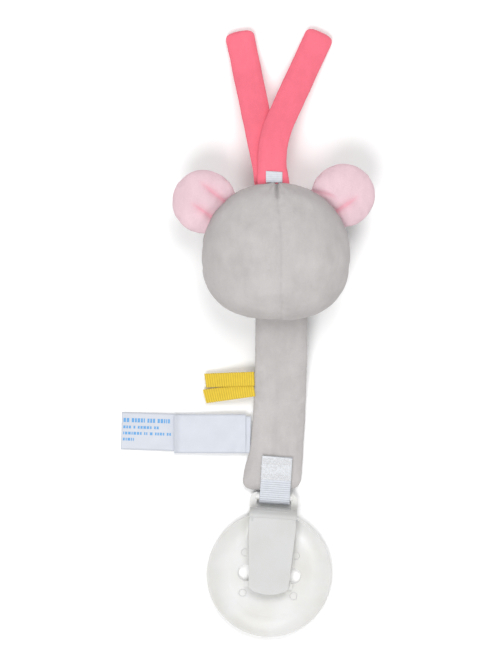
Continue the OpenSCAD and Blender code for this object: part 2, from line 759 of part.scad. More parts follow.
head_back_left();
head_back_right();
head_front();
head_filling();
eye_left();
eye_right();
nose();
ear_left_back();
ear_left_front();
ear_left_wadding();
ear_right_back();
ear_right_front();
ear_right_wadding();
strap_near_back();
strap_near_front();
strap_near_wadding();
hook_patch();
strap_anchor_tab();
strap_far_back();
strap_far_front();
strap_far_wadding();
loop_patch();
body_back_panel();
body_front_panel();
body_wadding();
ribbon_upper();
ribbon_lower();
label_short_leaf();
label_long_leaf();
webbing_loop();
webbing_stitching();
clip_body();
clip_lever();
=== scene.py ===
import json
import random
from collections import namedtuple
from math import asin, atan2, copysign, cos, exp, hypot, pi, radians, sin, sqrt, tau

import bmesh
import bpy
import numpy as np
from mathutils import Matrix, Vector, noise
from mathutils.bvhtree import BVHTree


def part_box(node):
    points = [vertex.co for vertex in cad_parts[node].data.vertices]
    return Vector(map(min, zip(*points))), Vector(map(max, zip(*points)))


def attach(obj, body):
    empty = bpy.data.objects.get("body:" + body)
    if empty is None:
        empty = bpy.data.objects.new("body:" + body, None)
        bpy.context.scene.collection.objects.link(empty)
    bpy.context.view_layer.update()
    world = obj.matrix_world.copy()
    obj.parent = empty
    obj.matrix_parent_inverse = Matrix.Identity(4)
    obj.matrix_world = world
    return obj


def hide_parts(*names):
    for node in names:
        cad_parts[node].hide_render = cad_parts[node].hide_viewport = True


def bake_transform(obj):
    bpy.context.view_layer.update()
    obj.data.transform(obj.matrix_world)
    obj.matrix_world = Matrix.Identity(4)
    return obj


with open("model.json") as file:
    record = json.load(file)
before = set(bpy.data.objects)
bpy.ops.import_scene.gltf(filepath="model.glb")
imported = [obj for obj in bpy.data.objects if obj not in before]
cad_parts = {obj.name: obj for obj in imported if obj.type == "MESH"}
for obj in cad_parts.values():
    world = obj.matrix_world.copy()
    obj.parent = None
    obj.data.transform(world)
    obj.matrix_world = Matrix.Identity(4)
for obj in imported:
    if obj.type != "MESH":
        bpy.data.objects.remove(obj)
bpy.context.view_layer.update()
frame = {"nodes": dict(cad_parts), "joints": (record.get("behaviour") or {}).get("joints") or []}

# A soft mouse that holds a baby's soother on clothing, lying face down, seen from above.
# Shapes are worked out in millimetres in the CAD's frame: +Y from the clip to the head
# straps, +X right, +Z up from the table. grid_piece() turns them into metres.
MM = 0.001
random.seed(7)


# ---- Numbers ----

def ease(t):
    """0 at t = 0 and 1 at t = 1, level at both ends."""
    t = min(max(t, 0.0), 1.0)
    return t * t * (3 - 2 * t)


def round_end(u, r, power=2.0):
    """Rounding of an end: 0 at the end itself, 1 from r onwards."""
    if u >= r:
        return 1.0
    return (1 - (1 - max(u, 0.0) / r) ** power) ** (1 / power)


def bell(distance, width):
    """1 at distance 0, falling smoothly to nothing over about twice the width."""
    return exp(-((distance / width) ** 2))


def signed_power(value, power):
    """A value's size raised to a power, with its sign: it makes an ellipse fuller or leaner."""
    return copysign(abs(value) ** power, value)


def box_mm(*nodes):
    """Lowest and highest corner round some CAD nodes, in millimetres."""
    boxes = [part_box(n) for n in nodes]
    low = Vector([min(b[0][k] for b in boxes) for k in range(3)])
    high = Vector([max(b[1][k] for b in boxes) for k in range(3)])
    return low / MM, high / MM


def anchor_mm(joint):
    """A joint's anchor, in millimetres."""
    return next(Vector(j["pos_m"]) for j in frame["joints"] if j["name"] == joint) / MM


# ---- Meshes ----

def new_object(name, data):
    made = bpy.data.objects.new(name, data)
    bpy.context.scene.collection.objects.link(made)
    return made


def distances(path):
    """How far along a path each of its points is."""
    runs = [0.0]
    for a, b in zip(path, path[1:]):
        runs.append(runs[-1] + (Vector(b) - Vector(a)).length)
    return runs


def grid_piece(name, rows, wrap=False, capped=False, along=None):
    """A mesh through rows of points in millimetres. Its UVs are distances along it in millimetres,
    and along gives the rows' own distances where ribs make the surface longer than the tape."""
    count = len(rows[0])
    points = [Vector(p) * MM for row in rows for p in row]
    spans = count if wrap else count - 1
    middle = rows[len(rows) // 2]
    across = distances([middle[j % count] for j in range(spans + 1)])
    column = count // 4 if wrap else count // 2
    along = along or distances([row[column] for row in rows])
    faces, uvs = [], []
    for i in range(len(rows) - 1):
        for j in range(spans):
            a, b = i * count + j, i * count + (j + 1) % count
            faces.append((a, b, b + count, a + count))
            uvs.append([(across[j], along[i]), (across[j + 1], along[i]),
                        (across[j + 1], along[i + 1]), (across[j], along[i + 1])])
    if capped:
        for i in (0, len(rows) - 1):
            centre = len(points)
            points.append(sum((Vector(p) for p in rows[i]), Vector()) / count * MM)
            for j in range(spans):
                faces.append((centre, i * count + j, i * count + (j + 1) % count))
                uvs.append([(across[j], along[i])] * 3)
    mesh = bpy.data.meshes.new(name)
    mesh.from_pydata(points, [], faces)
    layer = mesh.uv_layers.new(name="millimetres")
    layer.data.foreach_set("uv", [x for face in uvs for uv in face for x in uv])
    if capped:
        turn_outwards(mesh)
    mesh.shade_smooth()
    return new_object(name, mesh)


def turn_outwards(mesh):
    """Makes all of a closed mesh's faces look outwards."""
    shell = bmesh.new()
    shell.from_mesh(mesh)
    bmesh.ops.recalc_face_normals(shell, faces=shell.faces)
    shell.to_mesh(mesh)
    shell.free()


OFF_AXIS = Vector((0.13, 0.21, 1.0))  # a direction that no thread runs in
THREAD_END = 0.6  # thickness of a thread's ends, as a share of the rest


def tubes(name, paths, radius, sides):
    """One mesh of thin round threads, each along a path of points in millimetres."""
    points, faces = [], []
    for path in paths:
        path = [Vector(p) for p in path]
        start = len(points)
        for i, p in enumerate(path):
            ahead = (path[min(i + 1, len(path) - 1)] - path[max(i - 1, 0)]).normalized()
            side = ahead.cross(OFF_AXIS).normalized()
            up = side.cross(ahead)
            r = radius * (THREAD_END if i in (0, len(path) - 1) else 1.0)
            for k in range(sides):
                a = tau * k / sides
                points.append((p + side * (r * cos(a)) + up * (r * sin(a))) * MM)
        for i in range(len(path) - 1):
            for k in range(sides):
                a, b = start + i * sides + k, start + i * sides + (k + 1) % sides
                faces.append((a, b, b + sides, a + sides))
        faces.append(tuple(start + k for k in range(sides)))
        faces.append(tuple(len(points) - 1 - k for k in range(sides)))
    mesh = bpy.data.meshes.new(name)
    mesh.from_pydata(points, [], faces)
    turn_outwards(mesh)
    mesh.shade_smooth()
    return new_object(name, mesh)


def bake_modifiers(piece):
    """Replaces a piece's mesh with what its modifiers make of it."""
    graph = bpy.context.evaluated_depsgraph_get()
    mesh = bpy.data.meshes.new_from_object(piece.evaluated_get(graph), depsgraph=graph)
    piece.modifiers.clear()
    piece.data = mesh
    piece.data.shade_smooth()


def subdivide(piece):
    modifier = piece.modifiers.new("Subdivision", "SUBSURF")
    modifier.levels = modifier.render_levels = 1
    bake_modifiers(piece)


def thicken(piece, thickness):
    """Gives a sheet its thickness, half on each side."""
    modifier = piece.modifiers.new("Thickness", "SOLIDIFY")
    modifier.thickness = thickness * MM
    modifier.offset = 0
    bake_modifiers(piece)


def sculpt(piece, height, crease_shade=None):
    """Moves each point along its normal by height(place), both in millimetres.
    Its last argument says how deep in a fold a point lies, from 0 to 1, where the fabric's colour is
    painted darker as shade."""
    mesh = piece.data
    moves = [v.normal * (height(v.co / MM) * MM) for v in mesh.vertices]
    if crease_shade:
        depths = mesh.attributes.new("crease_shade", "FLOAT", "POINT")
        depths.data.foreach_set("value", [min(crease_shade(v.co / MM), 1.0) for v in mesh.vertices])
    for v, move in zip(mesh.vertices, moves):
        v.co += move
    mesh.update()


def surface_of(piece):
    """A tree of a piece's faces, to lay things on."""
    mesh = piece.data
    return BVHTree.FromPolygons([v.co for v in mesh.vertices], [p.vertices[:] for p in mesh.polygons])


ABOVE_ALL = 200.0  # a height above every piece


def top_at(surface, x, y, lift=0.0, fallback=0.0):
    """The point at (x, y) that is lift above a surface, or above height fallback beside it."""
    hit = surface.ray_cast(Vector((x * MM, y * MM, ABOVE_ALL * MM)), Vector((0, 0, -1)))[0]
    return (x, y, (hit.z / MM if hit else fallback) + lift)


# ---- Fabric that swells between its seams ----

SIM_SCALE = 25.0  # the cloth solver works best on pieces about a metre across
SIM_FRAMES = 16
TABLE_GAP = 0.05  # the table stops swelling fabric at this height
# The fabric starts this far inside its CAD shape, and swells out to it.
HEAD_TUCK, EAR_TUCK, STRAP_TUCK, BODY_TUCK = 0.3, 0.15, 0.1, 0.15


def inflate(piece, seams, spare, cap, pressure=4.0):
    """Lets the fabric of a closed piece swell between its seams, which hold still. spare is its
    share of spare fabric, and cap how far a point may move."""
    trial = piece.copy()
    trial.data = piece.data.copy()
    bpy.context.scene.collection.objects.link(trial)
    for v in trial.data.vertices:
        v.co *= SIM_SCALE
    before = np.array([v.co for v in trial.data.vertices])
    group = trial.vertex_groups.new(name="seams")
    group.add(sorted(seams), 1.0, "REPLACE")
    modifier = trial.modifiers.new("Cloth", "CLOTH")
    cloth = modifier.settings
    cloth.quality = 5
    cloth.vertex_group_mass = "seams"
    cloth.tension_stiffness = cloth.compression_stiffness = 15
    cloth.shear_stiffness = 5
    cloth.bending_stiffness = 0.5
    cloth.shrink_min = -spare
    cloth.use_pressure = True
    cloth.uniform_pressure_force = pressure
    cloth.effector_weights.gravity = 0
    modifier.collision_settings.use_collision = False
    modifier.point_cache.frame_start = 1
    modifier.point_cache.frame_end = SIM_FRAMES
    for number in range(1, SIM_FRAMES + 1):
        bpy.context.scene.frame_set(number)
    graph = bpy.context.evaluated_depsgraph_get()
    settled = trial.evaluated_get(graph).to_mesh()
    moved = np.array([v.co for v in settled.vertices]) - before
    length = np.linalg.norm(moved, axis=1, keepdims=True)
    limit = cap * MM * SIM_SCALE
    moved *= np.minimum(1.0, limit / np.maximum(length, 1e-9)) / SIM_SCALE
    for v, move in zip(piece.data.vertices, moved):
        v.co += Vector(move)
        v.co.z = max(v.co.z, TABLE_GAP * MM)
    bpy.data.objects.remove(trial)
    bpy.context.scene.frame_set(1)
    piece.data.update()


# ---- Materials ----

class Finish:
    """A procedural material. Its places are in metres, and its UVs in millimetres."""

    def __init__(self, name, **sockets):
        self.material = bpy.data.materials.new(name)
        self.material.use_nodes = True
        self.tree = self.material.node_tree
        self.shader = self.tree.nodes["Principled BSDF"]
        for socket, value in sockets.items():
            self.shader.inputs[socket.replace("_", " ")].default_value = value

    def node(self, kind, inputs=None, **settings):
        made = self.tree.nodes.new(kind)
        for key, value in settings.items():
            setattr(made, key, value)
        for key, value in (inputs or {}).items():
            if hasattr(value, "is_output"):
                self.tree.links.new(value, made.inputs[key])
            else:
                made.inputs[key].default_value = value
        return made

    def attribute(self, name, output):
        return self.node("ShaderNodeAttribute", attribute_name=name).outputs[output]

    def object_place(self):
        return self.node("ShaderNodeTexCoord").outputs["Object"]

    def uv(self):
        return self.node("ShaderNodeUVMap", uv_map="millimetres").outputs["UV"]

    def noise(self, place, size, detail=3.0, stretch=(1, 1, 1)):
        """Noise with features of about size, in the place's units."""
        scaled = self.node("ShaderNodeMapping", {"Vector": place, "Scale": [s / size for s in stretch]})
        made = self.node("ShaderNodeTexNoise",
                         {"Vector": scaled.outputs[0], "Scale": 1.0, "Detail": detail})
        return made.outputs["Fac"]

    def math(self, operation, a, b=0.0, c=0.0):
        made = self.node("ShaderNodeMath", {0: a, 1: b, 2: c}, operation=operation)
        return made.outputs[0]

    def ramp(self, factor, low, high, start=0.3, end=0.7):
        """A colour from low to high as factor goes from start to end."""
        made = self.node("ShaderNodeValToRGB", {"Fac": factor})
        elements = made.color_ramp.elements
        elements[0].position, elements[1].position = start, end
        elements[0].color, elements[1].color = (*low, 1), (*high, 1)
        return made.outputs["Color"]

    def mix(self, factor, a, b, blend="MIX"):
        made = self.node("ShaderNodeMix", {"Factor": factor}, data_type="RGBA", blend_type=blend)
        for socket, value in ((made.inputs[6], a), (made.inputs[7], b)):
            if hasattr(value, "is_output"):
                self.tree.links.new(value, socket)
            else:
                socket.default_value = (*value, 1)
        return made.outputs[2]

    def shade(self, colour, factor, low, high, start=0.3, end=0.7):
        """A colour times a grey that goes from low to high with factor."""
        grey = self.ramp(factor, (low,) * 3, (high,) * 3, start, end)
        return self.mix(1.0, colour, grey, "MULTIPLY")

    def waves(self, axis, pitch):
        """Waves along the UVs' X or Y, pitch apart."""
        parts = self.node("ShaderNodeSeparateXYZ", {"Vector": self.uv()})
        return self.math("SINE", self.math("MULTIPLY", parts.outputs[axis], tau / pitch))

    def colour(self, value):
        self.tree.links.new(value, self.shader.inputs["Base Color"])

    def bump(self, height, distance, strength=1.0, under=None):
        made = self.node("ShaderNodeBump", {"Height": height, "Distance": distance, "Strength": strength})
        if under is not None:
            self.tree.links.new(under, made.inputs["Normal"])
        self.tree.links.new(made.outputs[0], self.shader.inputs["Normal"])
        return made.outputs[0]


LIGHT = 1.27  # how brightly the studio lights a white surface that faces up


def linear(r, g, b):
    """The reflectance that looks like these 0-255 screen values under the studio's light."""
    return tuple(((x / 255 + 0.055) / 1.055) ** 2.4 / LIGHT for x in (r, g, b))


def scaled(colour, share):
    """A colour made lighter or darker."""
    return tuple(min(1.0, c * share) for c in colour)


def velour(name, colour, fold, nap):
    """Short-pile velour: brushed patches where the pile lies over, and a fine fibre grain.
    fold is the colour painted deep in its creases as shade, and nap how much the patches differ."""
    f = Finish(name, Roughness=0.92, Specular_IOR_Level=0.15, Sheen_Weight=0.12,
               Sheen_Roughness=0.45, Sheen_Tint=(*scaled(colour, 1.3), 1))
    place = f.attribute("rest_place", "Vector")
    patches = f.noise(place, 10 * MM, 3.0)
    strokes = f.noise(place, 2.4 * MM, 2.5, stretch=(1.0, 0.45, 1.0))
    grain = f.noise(place, 0.34 * MM, 2.0)
    brushed = f.ramp(patches, scaled(colour, 1 - nap), scaled(colour, 1 + nap * 0.7), 0.32, 0.68)
    stroked = f.shade(brushed, strokes, 0.965, 1.02)
    pile = f.shade(stroked, grain, 0.93, 1.035, 0.25, 0.75)
    # Painted shade: the colour goes towards fold deep in the folds that sculpt() marks.
    f.colour(f.mix(f.attribute("crease_shade", "Fac"), pile, fold))
    soft = f.bump(strokes, 0.2 * MM, 0.45)
    f.bump(grain, 0.1 * MM, 0.7, under=soft)
    return f.material


def tape(name, colour, rib, thread, shade=0.12):
    """Woven tape: ribs along V and fine threads across them, with shade painted between them, darker by
    the share shade.
    """
    f = Finish(name, Roughness=0.62, Specular_IOR_Level=0.35, Sheen_Weight=0.2, Sheen_Roughness=0.4)
    weave = f.math("MULTIPLY_ADD", f.waves("X", thread), 0.35, f.waves("Y", rib))
    level = f.math("MULTIPLY_ADD", weave, 0.37, 0.5)
    # Painted shade: the weave's low parts, between ribs and threads, are darker.
    woven = f.ramp(level, scaled(colour, 1 - shade), scaled(colour, 1.03), 0.05, 0.75)
    f.colour(f.shade(woven, f.noise(f.uv(), 1.5), 0.94, 1.03))
    f.bump(level, 0.05 * MM)
    return f.material


def satin(name, colour):
    """Printed satin: smooth, with very fine threads both ways and a soft gloss."""
    f = Finish(name, Roughness=0.42, Specular_IOR_Level=0.45, Sheen_Weight=0.15, Sheen_Roughness=0.35)
    weave = f.math("MULTIPLY", f.waves("X", 0.22), f.waves("Y", 0.176))
    level = f.math("MULTIPLY_ADD", weave, 0.5, 0.5)
    woven = f.ramp(level, scaled(colour, 0.95), scaled(colour, 1.02))
    f.colour(f.shade(woven, f.noise(f.uv(), 6.0), 0.96, 1.02))
    f.bump(level, 0.015 * MM)
    return f.material


def ink(name, colour):
    """Print that lies thinly on the label's threads."""
    f = Finish(name, Roughness=0.6, Specular_IOR_Level=0.3)
    patchy = f.noise(f.uv(), 0.35, 2.0)
    f.colour(f.ramp(patchy, scaled(colour, 0.9), scaled(colour, 1.25)))
    f.bump(patchy, 0.01 * MM)
    return f.material


def yarn(name, colour, twist=0.25, gloss=0.5):
    """Sewing or embroidery thread with a visible twist."""
    f = Finish(name, Roughness=0.65 - 0.3 * gloss, Specular_IOR_Level=0.4, Sheen_Weight=0.2)
    strands = f.noise(f.object_place(), twist * MM, 2.0, stretch=(1, 2.5, 1))
    f.colour(f.ramp(strands, scaled(colour, 0.82), scaled(colour, 1.1)))
    f.bump(strands, 0.05 * MM, 0.8)
    return f.material


def moulded_plastic(name, colour, deep, roughness):
    """White moulded plastic, a little translucent, with a faint mould texture."""
    f = Finish(name, Roughness=roughness, IOR=1.49, Subsurface_Weight=0.18, Subsurface_Scale=0.004,
               Coat_Weight=0.12, Coat_Roughness=0.2)
    f.shader.inputs["Subsurface Radius"].default_value = (1.0, 0.9, 0.75)
    place = f.object_place()
    flow = f.noise(place, 14 * MM, 2.0)
    pebble = f.noise(place, 0.5 * MM, 2.0)
    f.colour(f.ramp(flow, deep, colour, 0.3, 0.62))
    f.bump(pebble, 0.012 * MM, 0.6)
    return f.material


RIBBON_RIB, WEB_RIB = 0.83, 0.79  # from rib to rib of the yellow and the white tape

# Each velour's second colour is painted shade, for deep in its creases.
grey_velour = velour("grey_velour", linear(206, 202, 201), linear(150, 146, 147), nap=0.075)
pale_pink_velour = velour("pale_pink_velour", linear(244, 212, 221), linear(244, 158, 176), nap=0.04)
strong_pink_velour = velour("strong_pink_velour", scaled(linear(255, 124, 143), 1.07),
                            linear(226, 88, 112), nap=0.035)
yellow_tape = tape("yellow_grosgrain", linear(244, 210, 62), RIBBON_RIB, thread=0.3, shade=0.24)
white_tape = tape("white_webbing", linear(226, 230, 238), WEB_RIB, thread=0.4, shade=0.08)
sewn_tape = yarn("sewn_tape", linear(238, 241, 246), twist=0.5, gloss=0.0)
fastening_tape = tape("fastening_tape", linear(226, 226, 228), rib=0.5, thread=0.5)
label_satin = satin("label_satin", linear(222, 227, 237))
label_ink = ink("label_ink", linear(112, 174, 230))
white_yarn = yarn("white_yarn", linear(250, 251, 253))
dark_yarn = yarn("dark_yarn", linear(70, 68, 76), gloss=0.9)
clip_plastic = moulded_plastic("clip_plastic", linear(240, 240, 239), linear(230, 229, 224), 0.38)
# The lever is the same white plastic as the disc, with a darker colour painted on as its shade.
shaded_lever_plastic = moulded_plastic("shaded_lever_plastic", linear(205, 206, 205), linear(200, 200, 198), 0.42)


def dress(piece, material):
    piece.data.materials.clear()
    piece.data.materials.append(material)


def remember_rest(piece):
    """Stores where each point rests, so that the pile's pattern moves with the fabric."""
    mesh = piece.data
    places = mesh.attributes.new("rest_place", "FLOAT_VECTOR", "POINT")
    places.data.foreach_set("vector", [x for v in mesh.vertices for x in v.co])


# ---- Head ----

head_low, head_high = box_mm("head_back_left", "head_back_right", "head_front")
HEAD_MIDDLE = 0.497  # share of the head's height that lies below its widest ring
head_mid = (head_low + head_high) / 2
head_mid.y = head_low.y + HEAD_MIDDLE * (head_high.y - head_low.y)
head_half_w = (head_high.x - head_low.x) / 2
head_half_d = (head_high.z - head_low.z) / 2
head_rise = head_high.y - head_mid.y
CROWN_POWER, CHIN_POWER = 2.0, 2.6  # 2 is a plain ellipse, and more is fuller
LON_STEPS, LAT_STEPS = 96, 64
SEAM_TURN = 0.068  # turn of the rings that puts an edge under the seam, in radians
DART, GATHERS = 7.0, 9.0  # how far down from the crown the dart and the gathers reach


def seam_x(y):
    """The centre seam on the back of the head: it leaves the crown's middle to the right."""
    return head_mid.x + 1.8 - 1.5 * ease((y - head_mid.y) / 24)


def head_point(lon, lat, out):
    """A point of the head, out from its surface. Angles are in radians: lon from +X over the
    back, lat from chin to crown."""
    power = 2 / (CROWN_POWER if lat >= 0 else CHIN_POWER)
    reach = head_rise if lat >= 0 else head_mid.y - head_low.y
    rise = abs(sin(lat)) ** power * copysign(reach + out, lat)
    around = abs(cos(lat)) ** power
    return Vector(((head_half_w + out) * around * cos(lon) + head_mid.x,
                   rise + head_mid.y,
                   (head_half_d + out) * around * sin(lon) + head_mid.z))


def on_back(p):
    """1 on the back of the head, and 0 on its face."""
    return ease((p.z - head_mid.z) / 6)


def head_relief(p):
    """How far the head's cover stands out at a point: seams, dart, gathers and lumps."""
    off = abs(p.x - seam_x(p.y))
    below = head_high.y - p.y
    seam = -0.16 * bell(off, 0.5)
    puckers = 0.18 * bell(off, 3.0) * noise.noise(Vector((0.15 * off, p.y * 0.9, 3.0)))
    dart = ease((DART - below) / 2.5) * (0.25 * bell(off - 1.3, 0.9) - 0.5 * bell(off, 0.55))
    fan = atan2(p.x - seam_x(p.y), max(0.5, below))
    gathers = 0.2 * sin(9 * fan) * ease((GATHERS - below) / 8)
    side_seam = -0.22 * bell(p.z - head_mid.z, 0.5) * ease(abs(p.x - head_mid.x) / 8)
    lumps = 0.42 * noise.noise(p / 13) + 0.2 * noise.noise(p / 5.5)
    return (seam + puckers + dart + gathers) * on_back(p) + side_seam + lumps


def head_crease_shade(p):
    """Painted shade in the centre seam's groove, broken, and stronger along the dart."""
    broken = 0.5 + 0.5 * noise.noise(Vector((0, p.y * 0.5, 1)))
    dart = ease((DART - head_high.y + p.y) / 4)
    return 0.3 * (broken + dart) * bell(p.x - seam_x(p.y), 0.42) * on_back(p)


def make_head():
    rows = []
    for i in range(1, LAT_STEPS):
        lat = pi * (i / LAT_STEPS - 0.5)
        turn = SEAM_TURN * (1 - 0.8 * ease(lat / 1.3))
        rows.append([])
        for j in range(LON_STEPS):
            lon = tau * j / LON_STEPS
            rows[-1].append(head_point(lon - turn * max(0.0, sin(lon)), lat, -HEAD_TUCK))
    head = grid_piece("head_cover", rows, wrap=True, capped=True)
    quarter = LON_STEPS // 4
    seams = {i * LON_STEPS + j for i in range(LAT_STEPS - 1) for j in (0, quarter, 2 * quarter)}
    poles = {len(head.data.vertices) - 1, len(head.data.vertices) - 2}
    inflate(head, seams | poles, spare=0.022, cap=0.5)
    subdivide(head)
    sculpt(head, head_relief, head_crease_shade)
    remember_rest(head)
    dress(head, grey_velour)
    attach(head, "head")
    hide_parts("head_back_left", "head_back_right", "head_front", "head_filling")


# ---- Padded strips: stations of (x, y, z, heading, half width, half thickness) ----

def strip_piece(name, stations, count, bulge):
    """A padded strip of rings of count points, with its seams along both edges. A smaller
    bulge makes its faces fuller."""
    rows = []
    for x, y, z, heading, half_w, half_t in stations:
        c, s = cos(heading), sin(heading)
        row = []
        for k in range(count):
            a = tau * k / count
            u = half_w * cos(a)
            v = half_t * signed_power(sin(a), bulge)
            row.append((x + u * c, y - u * s, z + v))
        rows.append(row)
    return grid_piece(name, rows, wrap=True, capped=True)


def edge_seams(rows, count):
    """The points of a strip's seams: along both edges, and all of its first and last ring."""
    sides = {i * count + k for i in range(rows) for k in (0, count // 2)}
    ends = {i * count + k for i in (0, rows - 1) for k in range(count)}
    return sides | ends


# ---- Ears ----

EAR_R = 11.6
EAR_REACH = 31.2  # from the head's middle to the ear's
EAR_HALF_T = 3.3
EAR_HIDDEN = 4.6  # how far the ear's root reaches into the head
EAR_ROOT_HALF_W = 9.2
EAR_STEPS, EAR_RING = 40, 48


def ear_rows(ahead, sideways, root):
    """Rings of points from the ear's root out to its rim. ahead and sideways are its own
    directions, and root is how far from the head's middle it leaves the head."""
    first = asin((root - EAR_HIDDEN - EAR_REACH) / EAR_R)
    last = radians(88)
    rows = []
    for i in range(EAR_STEPS + 1):
        angle = first + (last - first) * i / EAR_STEPS
        d = EAR_REACH + EAR_R * sin(angle)
        least_w = EAR_ROOT_HALF_W if angle < -0.4 else 0
        half_w = max(EAR_R * cos(angle), least_w) - EAR_TUCK
        rim = round_end(EAR_REACH + EAR_R - d, 0.75 * EAR_R, 2.2)
        row = []
        for k in range(EAR_RING):
            a = tau * k / EAR_RING
            p = head_mid + ahead * d + sideways * (half_w * cos(a))
            shell = hypot((p.x - head_mid.x) / head_half_w, (p.y - head_mid.y) / head_rise)
            outside = max(shell - 1, 0) * root
            half_t = min(0.9 + 0.85 * outside, EAR_HALF_T * rim)
            p.z += half_t * signed_power(sin(a), 0.8)
            row.append(p)
        rows.append(row)
    return rows


def make_ear(side, direction, pleats):
    """A round ear, gathered where it is sewn on. Its pleats are (across, lean, length, depth),
    and show less on the face side."""
    ahead = Vector((cos(direction), sin(direction), 0))
    sideways = Vector((sin(direction), -cos(direction), 0))
    root = 1 / hypot(cos(direction) / head_half_w, sin(direction) / head_rise)
    ear = grid_piece(f"ear_{side}", ear_rows(ahead, sideways, root), wrap=True, capped=True)
    inflate(ear, edge_seams(EAR_STEPS + 1, EAR_RING), spare=0.012, cap=0.4, pressure=5)
    subdivide(ear)

    def pleats_at(p):
        """(distance from its line, its strength from 0 to 1, its depth) for each pleat."""
        q = p - head_mid
        d, u = q.dot(ahead) - root, q.dot(sideways)
        for across, lean, length, depth in pleats:
            strength = ease((d + 3) / 2) * (1 - ease((d / length - 0.4) / 0.6))
            yield u - across - lean * d, strength, depth

    def relief(p):
        q = p - head_mid
        face_share = 1.0 if q.z > 0 else 0.4
        h = 0.22 * noise.noise(p / 6)
        for off, strength, depth in pleats_at(p):
            groove = -0.7 * bell(off, 0.9)
            shoulders = 0.25 * bell(abs(off) - 2.4, 1.5)
            h += (groove + shoulders) * depth * strength * face_share
        from_rim = EAR_R - hypot(q.dot(sideways), q.dot(ahead) - EAR_REACH)
        rim_seam = -0.16 * bell(q.z, 0.35) * bell(from_rim, 1.2)
        return h + rim_seam

    # Painted shade in and beside the pleats, on the back side only.
    def crease_shade(p):
        if p.z <= head_mid.z:
            return 0.0
        return sum(strength * (0.6 * depth * bell(off, 0.55) + 0.22 * bell(off, 2.2))
                   for off, strength, depth in pleats_at(p))

    sculpt(ear, relief, crease_shade)
    remember_rest(ear)
    dress(ear, pale_pink_velour)
    ear.data.materials.append(grey_velour)
    for face in ear.data.polygons:
        face.material_index = 0 if face.center.z / MM > head_mid.z - 0.05 else 1
    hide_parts(f"ear_{side}_back", f"ear_{side}_front", f"ear_{side}_wadding")
    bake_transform(ear)


# ---- Head straps ----

STRAP_W = 10.7
STRAP_T = 3.0
STRAP_HIDDEN = 2.0  # a strap's length inside the head
STRAP_STEPS, STRAP_RING = 110, 40
NEAR_LEN, NEAR_LEAN = 57.6, radians(24.6)
NEAR_START = radians(-5)
NEAR_BEND = 27.0  # the near strap turns over this length
FAR_LEN, FAR_LEAN = 55.4, radians(-11.6)
AXIS_IN = 1.5  # the bend axis is this far out from the strap's root


def strap_half_w(s, length):
    """Half the width at s from the root, where it is wider. The tip has round corners."""
    flare = 0.45 * (1 - ease(s / 5))
    return (STRAP_W / 2 + flare) * (0.55 + 0.45 * round_end(length - s, 2.6))


def strap_half_t(s, length):
    """Half the thickness there: it is flatter at the root's seam, and round at the tip."""
    return STRAP_T / 2 * round_end(length - s + 0.2, 1.8) * (0.6 + 0.4 * ease(s / 3))


def near_path(s):
    """Place from the root, and heading, of the upper strap, which bends smoothly to the right."""
    def heading(t):
        return NEAR_START + (NEAR_LEAN - NEAR_START) * ease(t / NEAR_BEND)

    pieces = 40
    turns = [heading(s * (k + 0.5) / pieces) for k in range(pieces)]
    x = sum(sin(turn) * s / pieces for turn in turns)
    y = sum(cos(turn) * s / pieces for turn in turns)
    return x, y, heading(s)


def far_path(s):
    return s * sin(FAR_LEAN), s * cos(FAR_LEAN), FAR_LEAN


def make_strap(side, path, length, fall, patch):
    """A padded strap that sinks over the length fall, until its patch reaches the table."""
    axis = anchor_mm(f"strap_{side}_bend")
    root = axis - Vector((0, AXIS_IN, 0))
    tip_z = box_mm(patch)[1].z + STRAP_T / 2 + 0.05
    stations = []
    for i in range(STRAP_STEPS + 1):
        s = -STRAP_HIDDEN + (length + STRAP_HIDDEN) * i / STRAP_STEPS
        x, y, heading = path(s)
        z = root.z + (tip_z - root.z) * ease(s / fall)
        half_w, half_t = strap_half_w(s, length), strap_half_t(s, length)
        stations.append((root.x + x, root.y + y, z, heading,
                         half_w - STRAP_TUCK, half_t - STRAP_TUCK))
    strap = strip_piece(f"strap_{side}", stations, STRAP_RING, bulge=0.72)
    inflate(strap, edge_seams(STRAP_STEPS + 1, STRAP_RING), spare=0.01, cap=0.2, pressure=3)
    subdivide(strap)
    sculpt(strap, lambda p: 0.10 * noise.noise(p / 7) + 0.05 * noise.noise(p / 2.5))
    remember_rest(strap)
    dress(strap, strong_pink_velour)
    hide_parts(f"strap_{side}_back", f"strap_{side}_front", f"strap_{side}_wadding")
    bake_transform(strap)
    return strap


def make_anchor_tab(strap):
    """The short white tape over the roots of the straps."""
    low, high = box_mm("strap_anchor_tab")
    surface = surface_of(strap)
    length, askew, above, steps = 4.1, 0.35, 0.3, 24
    rows = []
    for i in range(steps + 1):
        y = head_high.y - 0.2 + length * i / steps
        slope = askew * i / steps
        rows.append([top_at(surface, x, y - slope * (x - low.x) / (high.x - low.x), above, low.z)
                     for x in np.linspace(low.x, high.x, 21)])
    tab = grid_piece("anchor_tab", rows)
    thicken(tab, 0.45)
    dress(tab, white_tape)
    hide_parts("strap_anchor_tab")
    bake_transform(tab)


PATCH_HALF = 4.2  # half the side of a square fastening patch
FIBRES = 9  # rows of hooks or loops on a patch, and as many in each row
HOOK = ((0, 0), (0, 0.24), (0.08, 0.38), (0.22, 0.34), (0.25, 0.24))  # (forwards, down)
LOOP_REACH, LOOP_DEPTH = 0.42, 0.36  # half a loop's span, and how far it hangs
LOOP_STRAY = 0.2  # how far a loop may lie off its row


